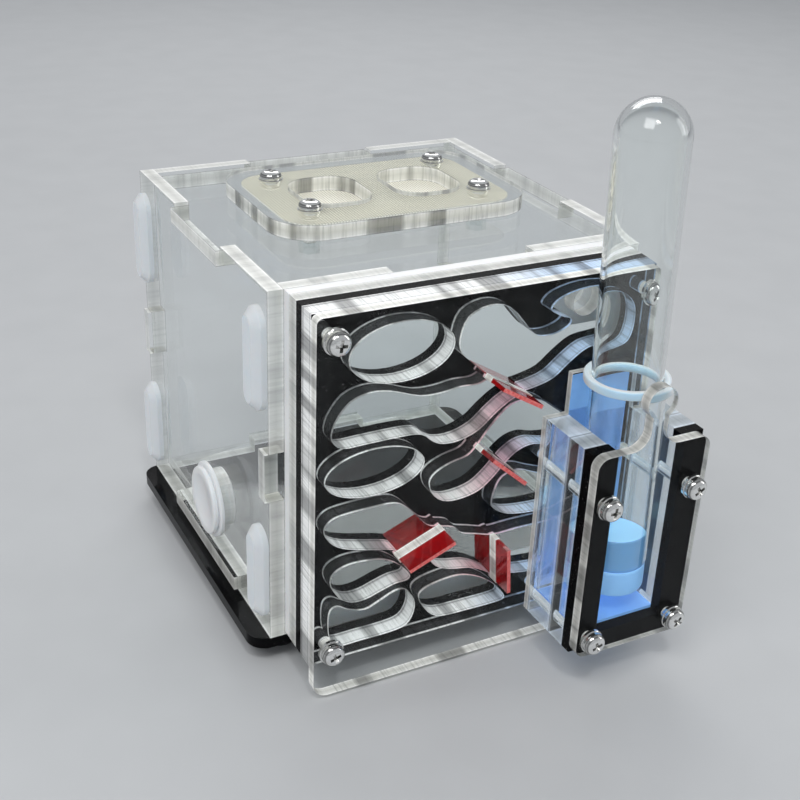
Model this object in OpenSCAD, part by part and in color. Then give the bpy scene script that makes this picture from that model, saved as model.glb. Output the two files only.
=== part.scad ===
// Acrylic ant habitat: a finger-jointed arena box with a chambered nest on its
// front, sliding gates in the nest passages and a bottle feeder on the nest cover.
// Box coordinates inside the modules: X from the box's left outer face to the right,
// Y from the box's front face to the back, Z from the box's underside upwards.

/* [Arena box] */
// Outside width of the box, left to right
box_w = 100; // [90:1:130]
// Outside depth of the box, front to back
box_d = 94; // [88:1:120]
// Outside height of the box
box_h = 93; // [93:1:120]
// Thickness of the box panels
panel_t = 4; // [3:0.5:5]
// How far a finger stands proud of the panel that it passes through
finger_proud = 1; // [0:0.25:1.5]
// Length of the top panel's side fingers
top_side_finger = 34; // [20:1:50]
// Length of the top and bottom panels' front and back fingers
front_finger = 38; // [20:1:50]
// Length of the bottom panel's side fingers
bottom_side_finger = 48; // [20:1:60]
// Height of the fingers on the upright edges
upright_finger = 13; // [8:1:30]
// Diameter of the entrance hole from the box to the nest
entrance_d = 8; // [5:0.5:9]

/* [Base] */
// Thickness of the black base plate
base_t = 3; // [2:0.5:6]
// How far the base plate reaches past the box on the left and right
base_side = 4.5; // [2:0.5:15]
// Corner radius of the base plate
base_corner_r = 5; // [2:0.5:10]
// Diameter of the rubber feet
foot_d = 11; // [8:0.5:16]
// Height of the rubber feet
foot_h = 5; // [5:0.5:10]
// Distance of each foot's centre from the base plate's edges
foot_inset = 11; // [9:0.5:20]

/* [Vent] */
// Width of the vent plate
vent_w = 72; // [64:1:80]
// Depth of the vent plate
vent_d = 50; // [44:1:60]
// Thickness of the vent plate
vent_t = 4; // [2:0.5:6]
// Corner radius of the vent plate
vent_corner_r = 12; // [6:0.5:14]
// Distance of the vent plate's centre to the right of the box's centre
vent_shift_x = 1; // [-3:0.5:3]
// Distance of the vent plate's centre behind the box's centre
vent_shift_y = 4; // [-2:0.5:6]
// Width of each vent opening
vent_hole_w = 19; // [10:0.5:20]
// Depth of each vent opening
vent_hole_d = 22; // [12:0.5:23]
// Corner radius of each vent opening
vent_hole_r = 7; // [2:0.5:9]
// Distance between the centres of the two vent openings
vent_hole_pitch = 26; // [22:0.5:27]
// Thickness of the woven mesh
mesh_t = 0.4; // [0.2:0.1:1]
// How far the mesh lies inside the vent plate's edge
mesh_inset = 4; // [2:0.5:5]
// Distance between the vent screws, left to right
vent_screw_x = 48.5; // [47:0.5:56]
// Distance between the vent screws, front to back
vent_screw_y = 26; // [25:0.5:34]

/* [Nest] */
// Thickness of the white gasket behind the nest
gasket_t = 3; // [2:0.5:5]
// Width of the gasket's frame
gasket_band = 6; // [5:0.5:8]
// Thickness of the nest's clear back sheet
back_sheet_t = 4; // [2:0.5:5]
// Thickness of the black sheet
black_t = 3; // [2:0.5:5]
// Thickness of the clear chamber block
block_t = 5; // [4:0.5:8]
// Thickness of the front cover
cover_t = 3; // [2:0.5:5]
// Height of the nest's underside above the box's underside
nest_rise = 1; // [0:0.5:1]
// How far the front cover hangs below the box's underside
cover_drop = 7; // [3:0.5:7.5]
// Lower corner radius of the front cover
cover_corner_r = 4; // [1:0.5:5]
// Distance of the nest screws from the nest's left and right edges
nest_screw_side = 4.3; // [4:0.1:4.6]
// Distance of the nest screws from the nest's top and bottom edges
nest_screw_end = 5.5; // [4:0.1:6]

/* [Gates] */
// Width of each gate plate
gate_w = 13; // [12.5:0.1:13.5]
// Thickness of each gate plate
gate_t = 1; // [0.8:0.1:1.5]
// How far each gate plate stands out of the front cover
gate_grip = 5.2; // [3:0.1:8]
// Clearance around a gate plate in its slot
gate_gap = 0.15; // [0.1:0.05:0.2]

/* [Feeder] */
// Width of the feeder stack
feeder_w = 32; // [32:0.5:34]
// Height of the feeder stack
feeder_h = 56; // [52:0.5:58]
// Height of the feeder's underside above the box's underside
feeder_rise = 3.2; // [3:0.1:5]
// Distance of the feeder's centre from the box's left face
feeder_x = 79.3; // [79:0.1:80]
// Thickness of the feeder's back plate
feeder_back_t = 2; // [1.5:0.1:3]
// Height of the back plate's upright above the feeder's top edge
feeder_back_up = 10.9; // [8:0.1:13]
// Thickness of the blue sheet
blue_t = 0.3; // [0.2:0.1:1]
// Width of the blue sheet
blue_w = 17; // [12:0.5:19]
// Distance of the blue sheet's top edge below the back plate's top edge
blue_drop = 1.5; // [0.5:0.5:6]
// Thickness of the feeder's rear body
rear_t = 10; // [10:0.5:12]
// Thickness of the feeder's middle body
middle_t = 6; // [6:0.5:8]
// Thickness of the feeder's black frame
frame_t = 3; // [3:0.5:4]
// Thickness of the feeder's front plate
front_t = 3; // [2:0.5:4]
// Width of the gap between the arms of the clear bodies
arm_gap = 19.6; // [19.5:0.1:19.8]
// Width of the gap between the arms of the black frame
frame_gap = 19; // [16:0.1:19.5]
// Height of the bar under the gap
feeder_bar = 5; // [4:0.5:7]
// Thickness of the blue floor
floor_t = 0.8; // [0.5:0.1:1.5]
// Diameter of the front plate's round tongue
tongue_d = 8.2; // [7:0.1:10]
// Width of the front plate's neck under the tongue
neck_w = 4.4; // [4:0.1:6]
// Height of the tongue's centre above the feeder's top edge
tongue_up = 11.5; // [10:0.5:13]
// Radius of the fillets beside the neck
neck_fillet = 4.5; // [3:0.1:5]
// Distance of the feeder screws from the feeder's side edges
feeder_screw_side = 3.8; // [3.3:0.1:4]
// Height of the lower feeder screws above the feeder's underside
feeder_screw_low = 4.8; // [3.3:0.1:5]
// Height of the upper feeder screws above the feeder's underside
feeder_screw_high = 43; // [38:0.5:44]

/* [Water tube] */
// Outside diameter of the glass tube
tube_d = 17; // [16:0.1:17]
// Length of the glass tube
tube_len = 115.4; // [112:0.1:150]
// Wall of the glass tube
tube_wall = 1.2; // [0.8:0.1:1.6]
// Wall of the silicone ring around the tube
ring_wall = 1.8; // [1:0.1:1.8]
// Height of the silicone ring
ring_h = 2; // [1:0.5:4]
// Lean of the tube to the left, in degrees
tube_lean = 1.7; // [0:0.1:1.8]
// Distance of the silicone ring's centre to the left of the feeder's centre
tube_shift = 0.45; // [0.4:0.05:0.8]
// Height of the stopper
stopper_h = 16.2; // [12:0.1:20]
// Length of the stopper that stays below the tube's mouth
stopper_out = 7.2; // [3:0.1:8]
// Height of the stopper above the blue floor
stopper_rise = 5.8; // [4.5:0.1:7]

/* [Side fittings] */
// Diameter of the port plug's flange
plug_flange_d = 21; // [18:0.5:26]
// Thickness of the port plug's flange
plug_flange_t = 2.5; // [2:0.5:4]
// Diameter of the port in the left panel
port_d = 16; // [10:0.5:17]
// Distance of the port's centre behind the box's front face
port_y = 42; // [30:1:50]
// Height of the port's centre above the box's underside
port_z = 17.5; // [17:0.5:40]
// Length of the silicone side pads
pad_len = 26; // [16:1:28]
// Width of the silicone side pads
pad_w = 9; // [7:0.5:10]
// Thickness of the silicone side pads
pad_t = 3.2; // [2:0.1:4]
// Distance of the pads' centres from the box's front and back faces
pad_y = 4.8; // [4.8:0.1:10]
// Height of the lower pads' centres above the box's underside
pad_z = 18; // [15:1:20]
// Width of the slope between a pad's side wall and its flat face
pad_slope = 2; // [0.5:0.1:3]

/* [Screws] */
// Diameter of the screws
screw_d = 3; // [2.5:0.1:3]
// Diameter of the screw heads
head_d = 5.8; // [5:0.1:6.2]
// Height of the screw heads
head_h = 2.4; // [1.8:0.1:2.6]
// Thickness of the washers
washer_t = 1; // [0.5:0.1:1.2]
// Height of the vent nuts
nut_h = 2.4; // [2:0.1:3]

/* [Hidden] */
$fn = 64;

cut = 0.5;                       // how far a cutting solid reaches past a face
hole_gap = 0.1;                  // radial clearance of a screw in a plain hole
thread_gap = 0.05;               // radial clearance of a screw in a tapped hole
seat_gap = 0.1;                  // clearance between the tube and its neighbours
plug_gap = 0.05;                 // radial clearance of the plug in its port

// Layer faces of the nest, counted forwards from the box's front face
gasket_y = -gasket_t;
back_sheet_y = gasket_y - back_sheet_t;
black_y = back_sheet_y - black_t;
block_y = black_y - block_t;
cover_y = block_y - cover_t;

// Layer faces of the feeder, counted forwards from the nest cover
feeder_back_y = cover_y - feeder_back_t;
rear_y = feeder_back_y - rear_t;
middle_y = rear_y - middle_t;
frame_y = middle_y - frame_t;
front_y = frame_y - front_t;

nest_x = panel_t;                // the nest lies between the side panels' planes
nest_w = box_w - 2*panel_t;
nest_top = box_h + finger_proud;
nest_h = nest_top - nest_rise;
feeder_top = feeder_rise + feeder_h;
feeder_back_top = feeder_top + feeder_back_up;
floor_z = feeder_rise + feeder_bar;
tube_r = tube_d/2;
tube_y = feeder_back_y - seat_gap - tube_r;
tube_z = floor_z + floor_t + stopper_rise + stopper_out;
tube_low = tube_z - feeder_back_top;
ring_r = tube_r + ring_wall;
lift = base_t + foot_h;          // height of the box's underside above the table
screw_front = washer_t + head_h; // how far a screw stands out of its seat

// The origin is on the table, at the middle of the whole object's footprint
object_front = front_y - screw_front;
object_back = box_d + finger_proud;
origin_y = (object_front + object_back)/2;

CLEAR = [0.86, 0.91, 0.92, 0.35];
FROST = [0.93, 0.95, 0.96, 0.8];
BLACK = [0.03, 0.03, 0.035];
BLUE = [0.34, 0.62, 0.93];
RED = [0.8, 0.08, 0.08, 0.6];
STEEL = [0.75, 0.75, 0.75];

// ---- Shared shapes -------------------------------------------------------

// Moves a piece from box coordinates to the part's own frame
module place() {
  translate([-box_w/2, -origin_y, lift]) children();
}

// Extrudes an outline drawn as X across and Z up, from y = far to y = far - t
module slab_y(far, t) {
  translate([0, far, 0]) rotate([90, 0, 0]) linear_extrude(height = t) children();
}

// Extrudes an outline drawn as Y across and Z up, from x = low to x = low + t
module slab_x(low, t) {
  translate([low, 0, 0]) rotate([90, 0, 90]) linear_extrude(height = t) children();
}

// Rectangle with its own radius at the lower and the upper corners
module round_rect(w, h, r_low, r_up) {
  difference() {
    square([w, h]);
    for (side = [0, 1]) {
      translate([side*w, 0]) mirror([side, 0]) corner_waste(r_low);
      translate([side*w, h]) mirror([side, 0]) mirror([0, 1]) corner_waste(r_up);
    }
  }
}

// What a corner of radius r loses, with the corner at the origin
module corner_waste(r) {
  difference() {
    translate([-1, -1]) square(r + 1);
    translate([r, r]) circle(r = r);
  }
}

// Rectangle centred on the origin with round corners
module centred_rect(w, h, r) {
  translate([-w/2, -h/2]) round_rect(w, h, r, r);
}

// Pan head screw that points along +Z, with its seat at z = 0
module screw(length, washer_d) {
  cross_w = 0.8;
  cross_l = 3;
  translate([0, 0, -washer_t]) {
    cylinder(d = washer_d, h = washer_t);
    difference() {
      rotate([180, 0, 0]) rotate_extrude()
        polygon([[0, 0], [head_d/2, 0], [head_d/2, head_h*0.45], [head_d*0.44, head_h*0.78],
                 [head_d*0.3, head_h], [0, head_h]]);
      for (turn = [0, 90]) rotate([0, 0, turn])
        translate([-cross_l/2, -cross_w/2, -head_h - cut]) cube([cross_l, cross_w, head_h*0.6 + cut]);
    }
    cylinder(d = screw_d, h = length + washer_t);
  }
}

// Copies children to the four corners of a w by h rectangle around the origin
module at_corners(w, h) {
  for (x = [-w/2, w/2], y = [-h/2, h/2]) translate([x, y]) children();
}

// ---- Box -----------------------------------------------------------------

module base_plate() {
  color(BLACK) place() translate([-base_side, 0, -base_t]) linear_extrude(height = base_t)
    round_rect(box_w + 2*base_side, box_d, base_corner_r, base_corner_r);
}

module base_feet() {
  color(BLACK) place() translate([box_w/2, box_d/2, -lift])
    at_corners(box_w + 2*base_side - 2*foot_inset, box_d - 2*foot_inset)
      cylinder(d = foot_d, h = foot_h);
}

// Outline of the top or bottom panel with a finger in the middle of each edge
module floor_outline(side_finger, proud_front) {
  translate([panel_t, panel_t]) square([box_w - 2*panel_t, box_d - 2*panel_t]);
  translate([-finger_proud, (box_d - side_finger)/2]) square([box_w + 2*finger_proud, side_finger]);
  translate([(box_w - front_finger)/2, -proud_front])
    square([front_finger, box_d + finger_proud + proud_front]);
}

module bottom_panel() {
  color(CLEAR) place() linear_extrude(height = panel_t) floor_outline(bottom_side_finger, 0);
}

module top_panel() {
  color(CLEAR) place() translate([0, 0, box_h - panel_t]) difference() {
    linear_extrude(height = panel_t) difference() {
      floor_outline(top_side_finger, 0);
      vent_place() vent_openings();
    }
    vent_place() translate([0, 0, -cut]) vent_screw_holes(panel_t + 2*cut);
  }
}

// Outline of an upright panel: full height at the ends of its top and bottom edges
module side_outline() {
  difference() {
    square([box_d, box_h + finger_proud]);
    translate([(box_d - top_side_finger)/2, box_h - panel_t])
      square([top_side_finger, panel_t + finger_proud + cut]);
    translate([(box_d - bottom_side_finger)/2, -cut]) square([bottom_side_finger, panel_t + cut]);
    for (y = [-cut, box_d - panel_t])
      translate([y, (box_h - upright_finger)/2]) square([panel_t + cut, upright_finger]);
  }
}

module left_panel() {
  color(CLEAR) place() difference() {
    slab_x(0, panel_t) side_outline();
    translate([-cut, port_y, port_z]) rotate([0, 90, 0])
      cylinder(r = port_d/2 + plug_gap, h = panel_t + 2*cut);
  }
}

module right_panel() {
  color(CLEAR) place() slab_x(box_w - panel_t, panel_t) side_outline();
}

// Outline of the front or back panel: tabs pass through the side panels
module end_outline() {
  difference() {
    translate([panel_t, 0]) square([box_w - 2*panel_t, box_h + finger_proud]);
    translate([(box_w - front_finger)/2, box_h - panel_t])
      square([front_finger, panel_t + finger_proud + cut]);
    translate([(box_w - front_finger)/2, -cut]) square([front_finger, panel_t + cut]);
  }
  translate([-finger_proud, (box_h - upright_finger)/2])
    square([box_w + 2*finger_proud, upright_finger]);
}

module back_panel() {
  color(CLEAR) place() slab_y(box_d, panel_t) end_outline();
}

module front_panel() {
  color(CLEAR) place() difference() {
    slab_y(panel_t, panel_t) end_outline();
    entrance_hole(panel_t + cut, panel_t + 2*cut);
    nest_corners() screw_hole(panel_t - 1, panel_t, thread_gap);
  }
}

// ---- Vent ----------------------------------------------------------------

// Moves to the middle of the vent plate, on the top panel's plan
module vent_place() {
  translate([box_w/2 + vent_shift_x, box_d/2 + vent_shift_y]) children();
}

module vent_openings() {
  for (x = [-vent_hole_pitch/2, vent_hole_pitch/2])
    translate([x, 0]) centred_rect(vent_hole_w, vent_hole_d, vent_hole_r);
}

module vent_screw_holes(depth) {
  at_corners(vent_screw_x, vent_screw_y) cylinder(r = screw_d/2 + hole_gap, h = depth);
}

module vent_plate() {
  color(CLEAR) place() translate([0, 0, box_h + mesh_t]) vent_place() difference() {
    linear_extrude(height = vent_t) difference() {
      centred_rect(vent_w, vent_d, vent_corner_r);
      vent_openings();
    }
    translate([0, 0, -cut]) vent_screw_holes(vent_t + 2*cut);
  }
}

module vent_mesh() {
  color([0.75, 0.72, 0.64]) place() translate([0, 0, box_h]) vent_place() difference() {
    linear_extrude(height = mesh_t)
      centred_rect(vent_w - 2*mesh_inset, vent_d - 2*mesh_inset, vent_corner_r - mesh_inset);
    translate([0, 0, -cut]) vent_screw_holes(mesh_t + 2*cut);
  }
}

module vent_screws() {
  color(STEEL) place() translate([0, 0, box_h + mesh_t + vent_t]) vent_place()
    at_corners(vent_screw_x, vent_screw_y) rotate([180, 0, 0])
      screw(vent_t + mesh_t + panel_t + nut_h + 0.6, head_d + 0.6);
}

module vent_nuts() {
  nut_across_corners = 6.2;
  color(STEEL) place() translate([0, 0, box_h - panel_t - nut_h]) vent_place()
    at_corners(vent_screw_x, vent_screw_y) difference() {
      cylinder(d = nut_across_corners, h = nut_h, $fn = 6);
      translate([0, 0, -cut]) cylinder(r = screw_d/2 + thread_gap, h = nut_h + 2*cut);
    }
}

// ---- Nest ----------------------------------------------------------------

// Chamber outlines as hand-placed points on smooth closed curves, measured from
// the nest's lower left corner. Two round chambers are ellipses instead.
upper_gallery = [[45.5, 69.5], [41.5, 73.5], [37.8, 77], [37, 81], [39, 86], [44.5, 88],
  [50, 86.5], [55, 81], [58, 78.2], [62.5, 77.8], [66.5, 79.2], [67, 81], [64, 82.2],
  [61.2, 84.3], [64, 87], [71.5, 88.4], [80, 87.4], [85, 84], [86, 79], [84.5, 74.5],
  [80, 73.2], [73, 72.5], [68, 69.5], [63.5, 66], [58, 64.5], [54.9, 64.1], [54.3, 63.4],
  [51, 61.8], [47.5, 59.3], [43.5, 56], [38.5, 54.3], [34, 54.4], [31, 55.8], [28, 58.2],
  [23, 58.7], [14, 58.7], [8, 58.8], [5.3, 61.3], [6, 65.5], [9.5, 70], [14.5, 71.6],
  [20, 70.9], [27.3, 68.3], [33, 68], [38, 68.6], [42.5, 68.4], [44.8, 69.2]];
middle_gallery = [[31, 44.3], [32.5, 46.8], [36.5, 48.6], [41, 49.6], [43.4, 51.8],
  [46.2, 55.4], [49.1, 58.6], [52.3, 61.1], [57, 61.6], [61, 60.4], [65, 57.5], [69, 54.5],
  [72, 52], [72.5, 49], [69.5, 47.2], [64, 47.6], [60, 48.7], [56.5, 48.3], [53.5, 46.6],
  [51.2, 44.4], [48.5, 41.6], [45, 39], [40.5, 37.9], [36, 38.1], [32.5, 40.3]];
side_room = [[49, 34], [49.6, 38], [51.5, 41.3], [56, 42.3], [61, 40.3], [67, 38.2],
  [73, 37.6], [78, 36.2], [79.5, 32.8], [76, 29.6], [68, 28.6], [60, 28.9], [54, 30], [50.3, 32]];
lower_gallery = [[3.7, 37.9], [5.5, 40.3], [9, 41.1], [16, 41.3], [21.5, 41.1], [24.5, 39.6],
  [27.5, 36.5], [31, 32.6], [34.1, 31.4], [38.5, 30], [41, 27.6], [45, 26.3], [50.4, 24.7],
  [57, 24.8], [66, 24.6], [76, 24.4], [81, 22], [82, 17.5], [80, 12], [75, 9.9], [66, 9.9],
  [58, 11], [53.5, 12.3], [50.6, 12.9], [47.5, 14.8], [44, 16.5], [38, 17.8], [34, 19.8],
  [31.5, 22.7], [28.5, 23.8], [25, 26.2], [21.5, 28], [14, 30], [8.5, 31.8], [5, 34.5]];
leaf_room = [[5.5, 22.5], [6.5, 25.3], [10, 26.7], [15, 26.6], [20, 25.5], [24, 22.8],
  [26.8, 19.5], [26.3, 17.9], [23, 17.7], [19, 16.6], [15, 15.4], [11, 15.6], [7.5, 18.2]];
corner_room = [[5.1, 11], [5.6, 14.6], [7.6, 15.4], [10.5, 13.6], [14.8, 12.3], [18.5, 13.6],
  [23, 15.5], [26, 15], [28.4, 11.5], [28.5, 7.5], [26.5, 4.2], [22, 3.3], [14, 3.3],
  [8, 3.4], [5.7, 5.8]];
floor_room = [[29.8, 11.3], [31, 13.6], [35.5, 14.8], [41, 15], [46, 13.3], [50.5, 10.3],
  [54, 6.6], [55.2, 3.9], [52, 3.3], [44, 3.4], [36.5, 3.8], [32.5, 6.3]];
// Ellipses: centre and the two half axes
round_rooms = [[[22.4, 80.3], 13.2, 7.4], [[16.5, 50.7], 12.8, 6.2]];
// Gates: middle of the plate and the slope of its line, in degrees
gates = [[[49.95, 67.05], -31], [[48.05, 47.7], -41.4], [[28.35, 29], 22.6], [[50.3, 18.6], -85]];
curve_steps = 3;                 // straight pieces between two chamber points

// Point at share t between p1 and p2 on a Catmull-Rom curve
function curve_point(p0, p1, p2, p3, t) =
  0.5*(2*p1 + (p2 - p0)*t + (2*p0 - 5*p1 + 4*p2 - p3)*t*t + (3*p1 - p0 - 3*p2 + p3)*t*t*t);
function smooth_loop(p) = let (n = len(p))
  [for (i = [0:n - 1], s = [0:curve_steps - 1])
    curve_point(p[(i + n - 1) % n], p[i], p[(i + 1) % n], p[(i + 2) % n], s/curve_steps)];
function ellipse_loop(rx, ry) = [for (a = [0:10:350]) [rx*cos(a), ry*sin(a)]];

module chambers() {
  for (room = [upper_gallery, middle_gallery, side_room, lower_gallery, leaf_room, corner_room,
               floor_room])
    polygon(smooth_loop(room));
  for (room = round_rooms) translate(room[0]) polygon(ellipse_loop(room[1], room[2]));
}

// Slot outlines for the gate plates
module gate_slots() {
  for (gate = gates) translate(gate[0]) rotate(gate[1])
    square([gate_w + 2*gate_gap, gate_t + 2*gate_gap], center = true);
}

// Moves an outline to the nest's lower left corner
module nest_place() {
  translate([nest_x, nest_rise]) children();
}

// Copies children to the three nest screws, on the box's front face. The fourth
// corner is held by the feeder's long screw.
module nest_corners() {
  translate([nest_x + nest_w/2, 0, nest_rise + nest_h/2])
    for (corner = [[-1, -1], [-1, 1], [1, 1]])
      translate([corner[0]*(nest_w/2 - nest_screw_side), 0, corner[1]*(nest_h/2 - nest_screw_end)])
        children();
}

// Hole of a screw along Y that starts at y = far and comes forwards
module screw_hole(far, depth, gap) {
  translate([0, far, 0]) rotate([90, 0, 0]) cylinder(r = screw_d/2 + gap, h = depth);
}

// Entrance between the arena and the nest's upper gallery
entrance_at = [77, 81];
module entrance_hole(far, depth) {
  translate([nest_x + entrance_at[0], far, nest_rise + entrance_at[1]]) rotate([90, 0, 0])
    cylinder(d = entrance_d, h = depth);
}

module nest_gasket() {
  ring_band = 4;
  ring_d = entrance_d + 2*ring_band;
  color(FROST) place() difference() {
    slab_y(0, gasket_t) nest_place() difference() {
      square([nest_w, nest_h]);
      difference() {
        translate([gasket_band, gasket_band]) square([nest_w - 2*gasket_band, nest_h - 2*gasket_band]);
        hull() {
          translate(entrance_at) circle(d = ring_d);
          translate([nest_w, entrance_at[1]]) circle(d = ring_d);
        }
      }
    }
    entrance_hole(cut, gasket_t + 2*cut);
    nest_corners() screw_hole(cut, gasket_t + 2*cut, hole_gap);
  }
}

module nest_back_sheet() {
  color(CLEAR) place() difference() {
    slab_y(gasket_y, back_sheet_t) nest_place() square([nest_w, nest_h]);
    entrance_hole(gasket_y + cut, back_sheet_t + 2*cut);
    nest_corners() screw_hole(gasket_y + cut, back_sheet_t + 2*cut, hole_gap);
  }
}

module nest_black_sheet() {
  color(BLACK) place() difference() {
    slab_y(back_sheet_y, black_t) nest_place() difference() {
      square([nest_w, nest_h]);
      chambers();
      gate_slots();
    }
    nest_corners() screw_hole(back_sheet_y + cut, black_t + 2*cut, hole_gap);
  }
}

module nest_block() {
  thread_depth = block_t - 1;
  color(CLEAR) place() difference() {
    slab_y(black_y, block_t) nest_place() difference() {
      square([nest_w, nest_h]);
      chambers();
      gate_slots();
    }
    nest_corners() screw_hole(black_y + cut, block_t + 2*cut, hole_gap);
    feeder_corners() screw_hole(block_y + thread_depth, thread_depth + cut, thread_gap);
  }
}

module nest_cover() {
  cover_bottom = -cover_drop;
  color(CLEAR) place() difference() {
    slab_y(block_y, cover_t) difference() {
      translate([nest_x, cover_bottom])
        round_rect(nest_w, nest_top - cover_bottom, cover_corner_r, 1.5);
      nest_place() gate_slots();
    }
    nest_corners() screw_hole(block_y + cut, cover_t + 2*cut, hole_gap);
    feeder_corners() screw_hole(block_y + cut, cover_t + 2*cut, hole_gap);
    feeding_hole(block_y + cut, cover_t + 2*cut);
  }
}

module nest_screws() {
  color(STEEL) place() nest_corners() translate([0, cover_y, 0]) rotate([-90, 0, 0])
    screw(panel_t - 1.3 - cover_y, head_d + 0.6);
}

// Gate plate number i, pushed in until it meets the clear back sheet
module gate(i) {
  gate_len = gate_grip + cover_t + block_t + black_t - seat_gap;
  color(RED) place() slab_y(back_sheet_y - seat_gap, gate_len) nest_place()
    translate(gates[i - 1][0]) rotate(gates[i - 1][1]) square([gate_w, gate_t], center = true);
}

module gate_1() { gate(1); }
module gate_2() { gate(2); }
module gate_3() { gate(3); }
module gate_4() { gate(4); }

// ---- Feeder --------------------------------------------------------------

// Copies children to the four feeder screws, on the box's front face
module feeder_corners() {
  for (x = [-1, 1], z = [feeder_screw_low, feeder_screw_high])
    translate([feeder_x + x*(feeder_w/2 - feeder_screw_side), 0, feeder_rise + z]) children();
}

// Hole where the ants reach the stopper
feeding_z = 11.8;                // height of the hole's centre above the feeder's underside
feeding_d = 6;
module feeding_hole(far, depth) {
  translate([feeder_x, far, feeder_rise + feeding_z]) rotate([90, 0, 0])
    cylinder(d = feeding_d, h = depth);
}

// Outline of the feeder's back plate: a wide foot and a narrower upright
module feeder_back_outline() {
  translate([feeder_x - feeder_w/2, feeder_rise]) square([feeder_w, feeder_h]);
  translate([feeder_x - arm_gap/2, feeder_rise]) square([arm_gap, feeder_back_top - feeder_rise]);
}

module feeder_back_plate() {
  color(CLEAR) place() difference() {
    slab_y(cover_y - blue_t, feeder_back_t - blue_t) feeder_back_outline();
    feeding_hole(cover_y + cut, feeder_back_t + 2*cut);
    feeder_corners() screw_hole(cover_y + cut, feeder_back_t + 2*cut, hole_gap);
  }
}

module feeder_blue_sheet() {
  color(BLUE) place() difference() {
    slab_y(cover_y, blue_t) translate([feeder_x - blue_w/2, floor_z])
      square([blue_w, feeder_back_top - blue_drop - floor_z]);
    feeding_hole(cover_y + cut, blue_t + 2*cut);
  }
}

// U-shaped layer of the feeder, open at the top
module feeder_u(far, t, gap) {
  difference() {
    slab_y(far, t) difference() {
      translate([feeder_x - feeder_w/2, feeder_rise]) square([feeder_w, feeder_h]);
      translate([feeder_x - gap/2, floor_z]) square([gap, feeder_h]);
    }
    feeder_corners() screw_hole(far + cut, t + 2*cut, hole_gap);
  }
}

module feeder_rear_body() { color(CLEAR) place() feeder_u(feeder_back_y, rear_t, arm_gap); }
module feeder_middle_body() { color(CLEAR) place() feeder_u(rear_y, middle_t, arm_gap); }
module feeder_black_frame() { color(BLACK) place() feeder_u(middle_y, frame_t, frame_gap); }

module feeder_floor() {
  color(BLUE) place() translate([feeder_x - arm_gap/2, middle_y, floor_z])
    cube([arm_gap, rear_t + middle_t, floor_t]);
}

// Front plate outline with the keyhole tongue that steadies the silicone ring
module feeder_front_outline() {
  neck_base = neck_w/2 + neck_fillet;
  round_corner = 3;
  translate([feeder_x, feeder_rise]) {
    translate([-feeder_w/2, 0]) round_rect(feeder_w, feeder_h, round_corner, round_corner);
    difference() {
      translate([-neck_base, feeder_h - cut]) square([2*neck_base, neck_fillet + cut]);
      for (side = [-1, 1]) translate([side*neck_base, feeder_h + neck_fillet]) circle(r = neck_fillet);
    }
    translate([-neck_w/2, feeder_h]) square([neck_w, tongue_up]);
    translate([0, feeder_h + tongue_up]) circle(d = tongue_d);
  }
}

module feeder_front_plate() {
  color(CLEAR) place() difference() {
    slab_y(frame_y, front_t) feeder_front_outline();
    feeder_corners() screw_hole(frame_y + cut, front_t + 2*cut, hole_gap);
  }
}

module feeder_screws() {
  tip_gap = 0.4;
  color(STEEL) place() feeder_corners() translate([0, front_y, 0]) rotate([-90, 0, 0])
    screw(block_y + block_t - 1 - tip_gap - front_y, head_d + 0.4);
}

// ---- Water tube ----------------------------------------------------------

// Moves to the middle of the ring's underside
module ring_place() {
  place() translate([feeder_x - tube_shift, tube_y, feeder_back_top]) children();
}

// Moves to the same point, with Z along the leaning tube
module tube_place() {
  ring_place() rotate([0, -tube_lean, 0]) children();
}

// Upturned test tube: straight wall with a round end
module water_tube() {
  inner_r = tube_r - tube_wall;
  straight = tube_len - tube_r;
  color([0.85, 0.93, 0.93, 0.3]) tube_place() translate([0, 0, tube_low]) difference() {
    union() {
      cylinder(r = tube_r, h = straight);
      translate([0, 0, straight]) sphere(r = tube_r);
    }
    translate([0, 0, -cut]) cylinder(r = inner_r, h = straight + cut);
    translate([0, 0, straight]) sphere(r = inner_r);
  }
}

// Level ring on the back plate's top edge, bored along the leaning tube
module tube_ring() {
  color(FROST) difference() {
    ring_place() cylinder(r = ring_r, h = ring_h);
    tube_place() translate([0, 0, -ring_h]) cylinder(r = tube_r, h = 3*ring_h);
  }
}

// Stopper that swells out to almost the tube's width below the mouth
module tube_stopper() {
  swell_gap = 0.2;
  color(BLUE) tube_place() translate([0, 0, tube_low - stopper_out]) {
    cylinder(r = tube_r - swell_gap, h = stopper_out);
    cylinder(r = tube_r - tube_wall, h = stopper_h);
  }
}

// ---- Side fittings -------------------------------------------------------

// Silicone plug: two flange steps outside and a straight body through the port
module port_plug() {
  plug_out = 0.3;
  body_len = panel_t + plug_out;
  lip_t = plug_flange_t/3;
  color(FROST) place() translate([0, port_y, port_z]) rotate([0, 90, 0]) {
    translate([0, 0, -plug_flange_t]) cylinder(d = plug_flange_d, h = plug_flange_t - lip_t);
    translate([0, 0, -lip_t]) cylinder(d = plug_flange_d - 2, h = lip_t);
    cylinder(d = port_d, h = body_len);
  }
}

// Long round-ended pad number i on the left panel, with sloping rims
module side_pad(i) {
  back = (i - 1) % 2;
  upper = floor((i - 1)/2);
  y = back == 1 ? box_d - pad_y : pad_y;
  z = upper == 1 ? box_h + finger_proud - pad_z : pad_z;
  slope_t = pad_t*0.55;
  color(FROST) place() translate([0, y, z]) hull() {
    slab_x(-pad_t + slope_t, pad_t - slope_t) pad_outline(0);
    slab_x(-pad_t, slope_t) pad_outline(pad_slope);
  }
}

module pad_outline(inset) {
  r = pad_w/2 - inset;
  hull() for (end = [-1, 1]) translate([0, end*(pad_len/2 - pad_w/2)]) circle(r = r, $fn = 32);
}

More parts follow.
